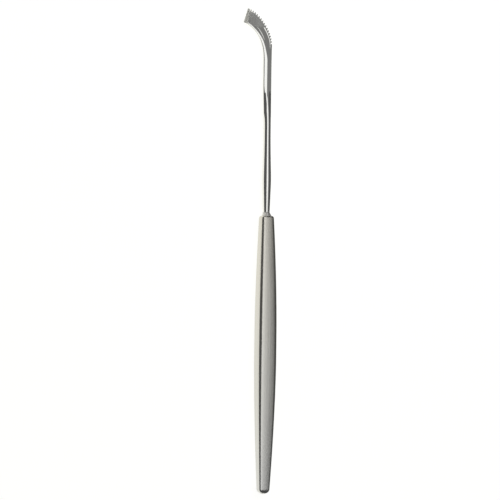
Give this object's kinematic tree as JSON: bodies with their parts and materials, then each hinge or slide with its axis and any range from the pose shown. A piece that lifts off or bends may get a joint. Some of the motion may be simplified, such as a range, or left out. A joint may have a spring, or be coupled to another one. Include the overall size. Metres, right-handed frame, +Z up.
{
  "type": "curved serrated dissector",
  "caption": "Rigid hand instrument: curved blade toothed along its outer edge, slim polished shank, hollow tapered handle of rounded rectangular section with a domed butt",
  "frame": {"origin": "on the surface that the tool lies on, under the middle of the whole tool's box", "axes": "+Y along the handle towards the blade's tip, +Z up out of the face that the tool lies on, +X away from the side that the blade hooks to"},
  "size_m": [0.0168, 0.222, 0.0078],
  "materials": {
    "polished_steel": "mirror polished, with fine grinding lines along the blade",
    "satin_steel": "satin, brushed along the handle",
    "solder": "bright, flowed",
    "turned_steel": "as turned"
  },
  "bodies": {
    "root": {"blade_and_shank": "polished_steel", "neck_solder_fillet": "solder", "handle_shell_front": "satin_steel", "handle_shell_back": "satin_steel", "tang_sleeve": "turned_steel", "butt_plug": "satin_steel"}
  },
  "joints": []
}
